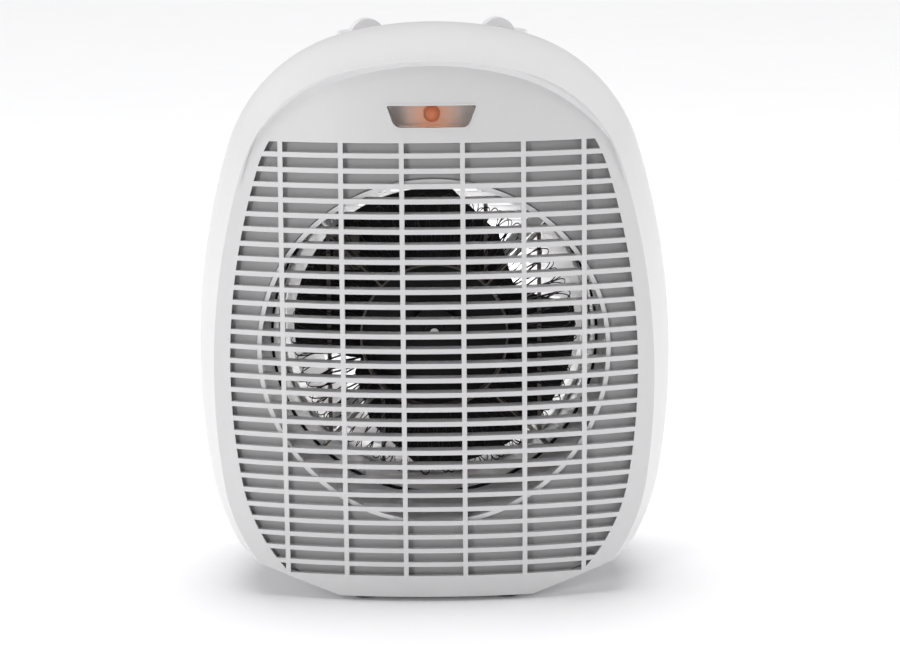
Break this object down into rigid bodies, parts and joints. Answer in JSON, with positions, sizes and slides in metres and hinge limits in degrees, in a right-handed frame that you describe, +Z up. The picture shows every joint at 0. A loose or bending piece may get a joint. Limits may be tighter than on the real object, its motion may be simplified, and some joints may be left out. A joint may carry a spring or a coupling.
{
  "type": "fan convector heater",
  "caption": "Upright oval fan heater with a bowed slotted front grille, round outlet, hairpin heating element, axial fan and two top rotary knobs.",
  "frame": {"origin": "on the floor under the middle of the case, at the centre of its bounding box", "axes": "+Z up, the outlet grille faces -Y, +X to the right as seen from the front"},
  "size_m": [0.2164, 0.13, 0.2595],
  "materials": {
    "white_shell": "fine satin moulded white plastic",
    "grey_plate": "flat grey painted sheet",
    "duct_sheet": "light painted sheet metal",
    "spider_steel": "white painted pressed steel",
    "dark_felt": "dense dark felt",
    "zinc_steel": "zinc-plated steel",
    "bright_steel": "ground steel",
    "laminations": "stacked electrical steel",
    "coil_copper": "taped copper winding",
    "bronze": "sintered bronze",
    "mica": "pressed mica sheet",
    "ribbon_wire": "oxidised resistance ribbon",
    "black_fan": "black moulded plastic",
    "black_plastic": "black moulded plastic",
    "white_knob": "smooth white plastic",
    "clear_lens": "clear moulded lens",
    "white_holder": "white moulded plastic",
    "amber_lamp": "amber glowing bulb",
    "terminal_plastic": "natural nylon",
    "grey_rubber": "soft grey rubber",
    "foot_rubber": "matt dark rubber",
    "lead_brown": "silicone insulated wire",
    "lead_blue": "silicone insulated wire"
  },
  "bodies": {
    "case": {"backing_plate": "grey_plate", "bearing_front": "bronze", "bearing_rear": "bronze", "clamp_screws": "zinc_steel", "cord_bush": "grey_rubber", "cord_clamp": "terminal_plastic", "cord_saddle": "terminal_plastic", "cutout_board": "mica", "duct_screws": "zinc_steel", "duct_seal": "dark_felt", "foot_front_left": "foot_rubber", "foot_front_right": "foot_rubber", "foot_rear_left": "foot_rubber", "foot_rear_right": "foot_rubber", "front_cover": "white_shell", "heating_ribbon_1": "ribbon_wire", "heating_ribbon_2": "ribbon_wire", "heating_ribbon_3": "ribbon_wire", "heating_ribbon_4": "ribbon_wire", "housing_screws": "zinc_steel", "lamp_holder": "white_holder", "lamp_lens": "clear_lens", "mica_inner_ring": "mica", "mica_spoke_1": "mica", "mica_spoke_2": "mica", "mica_spoke_3": "mica", "mica_spoke_4": "mica", "mica_strip_1": "mica", "mica_strip_2": "mica", "mica_strip_3": "mica", "mica_strip_4": "mica", "motor_coil": "coil_copper", "motor_front_bracket": "zinc_steel", "motor_lead": "lead_blue", "motor_rear_bracket": "zinc_steel", "motor_screws": "zinc_steel", "motor_spider": "spider_steel", "motor_stack": "laminations", "neon_lamp": "amber_lamp", "outlet_duct": "duct_sheet", "plate_pins": "white_shell", "rear_cover": "white_shell", "selector_switch": "black_plastic", "terminal_block": "terminal_plastic", "thermal_cutout": "zinc_steel", "thermostat": "black_plastic", "thermostat_lead": "lead_brown"},
    "rotor": {"fan_rotor": "black_fan", "fan_clip": "black_fan", "motor_shaft": "bright_steel", "motor_rotor": "bright_steel"},
    "selector": {"selector_knob": "white_knob", "selector_spindle": "bright_steel"},
    "thermostat_control": {"thermostat_knob": "white_knob", "thermostat_spindle": "bright_steel"}
  },
  "joints": [
    {"name": "fan_spin", "type": "hinge", "parent": "case", "child": "rotor", "pos_m": [0, 0.01, 0.1163], "axis": [0, 1, 0], "continuous": true},
    {"name": "selector_turn", "type": "hinge", "parent": "case", "child": "selector", "pos_m": [-0.03, 0.017, 0.25], "axis": [0, 0, 1], "range_deg": [-270, 0]},
    {"name": "thermostat_turn", "type": "hinge", "parent": "case", "child": "thermostat_control", "pos_m": [0.03, 0.017, 0.25], "axis": [0, 0, 1], "range_deg": [-270, 0]}
  ]
}
